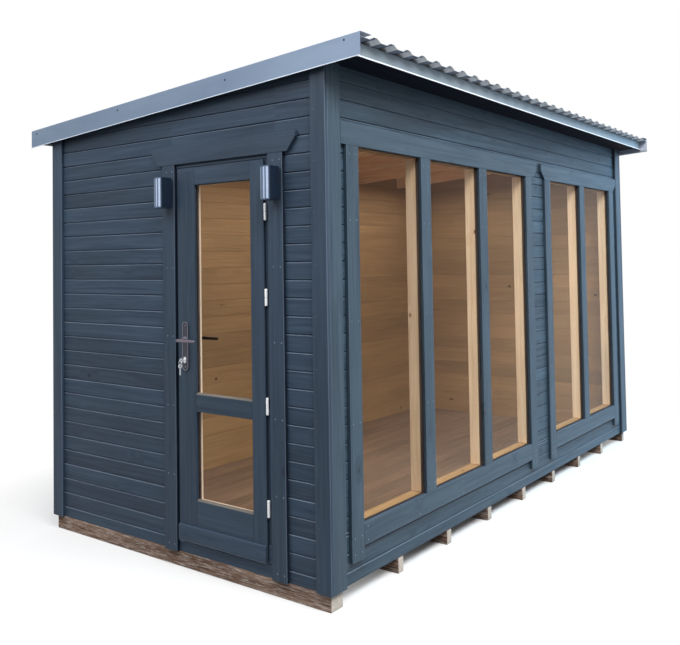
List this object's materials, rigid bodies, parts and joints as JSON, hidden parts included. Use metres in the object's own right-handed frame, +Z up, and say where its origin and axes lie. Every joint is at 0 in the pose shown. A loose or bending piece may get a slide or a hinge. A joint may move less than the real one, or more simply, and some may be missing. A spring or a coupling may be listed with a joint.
{
  "type": "summer house",
  "caption": "Dark boarded timber summer house with a ribbed pent roof, a half-glazed hinged door in one end and tall fixed windows along the front.",
  "frame": {"origin": "under the middle of the roof's plan, at the underside of the floor bearers", "axes": "+X along the window wall from the door end to the far end, +Y from the window wall to the back wall, +Z up"},
  "size_m": [4.3179, 2.523, 2.5934],
  "materials": {
    "dark_paint": "satin",
    "roof_wood": "matte",
    "pine": "satin",
    "bearer_wood": "matte",
    "glass": "polished",
    "roof_metal": "satin",
    "flashing_metal": "satin",
    "hinge_metal": "satin",
    "handle_metal": "satin",
    "steel": "satin",
    "lamp_metal": "satin"
  },
  "bodies": {
    "cabin": {"floor_bearers": "bearer_wood", "floor_deck": "pine", "door_wall_boards": "dark_paint", "doorway_boards": "dark_paint", "door_wall_lining": "pine", "doorway_lining": "pine", "far_wall_boards": "dark_paint", "far_wall_lining": "pine", "back_wall_boards": "dark_paint", "back_wall_lining": "pine", "window_wall_boards": "dark_paint", "window_wall_piers": "dark_paint", "window_wall_lining": "pine", "window_posts": "pine", "window_panes": "glass", "window_casings": "dark_paint", "window_sill_boards": "dark_paint", "window_headers": "dark_paint", "end_corner_boards": "dark_paint", "side_corner_boards": "dark_paint", "door_casings": "dark_paint", "door_header": "dark_paint", "door_jambs": "dark_paint", "door_frame_rails": "dark_paint", "hinge_pin_halves": "hinge_metal", "lamp_feet": "lamp_metal", "lamp_housings": "lamp_metal", "roof_boards": "pine", "roof_rafters": "pine", "eaves_fascias": "roof_wood", "barge_boards": "roof_wood", "roof_sheet": "roof_metal", "barge_flashings": "flashing_metal", "eaves_flashings": "flashing_metal"},
    "door": {"door_stiles": "dark_paint", "door_rails": "dark_paint", "door_panes": "glass", "door_glazing_beads": "pine", "door_weatherboard": "dark_paint", "hinge_socket_halves": "hinge_metal", "handle_plates": "handle_metal", "lock_cylinder": "steel", "door_key": "steel"},
    "lever": {"lever_handles": "handle_metal", "lever_spindle": "steel"}
  },
  "joints": [
    {"name": "door_hinge", "type": "hinge", "parent": "cabin", "child": "door", "pos_m": [-2.085, -0.6535, 0.15], "axis": [0, 0, 1], "range_deg": [0, 100]},
    {"name": "lever_turn", "type": "hinge", "parent": "door", "child": "lever", "pos_m": [-2.09, -0.0935, 1.188], "axis": [1, 0, 0], "range_deg": [0, 40], "stiffness_Nm_per_rad": 1.5, "springref_deg": -28.65}
  ]
}
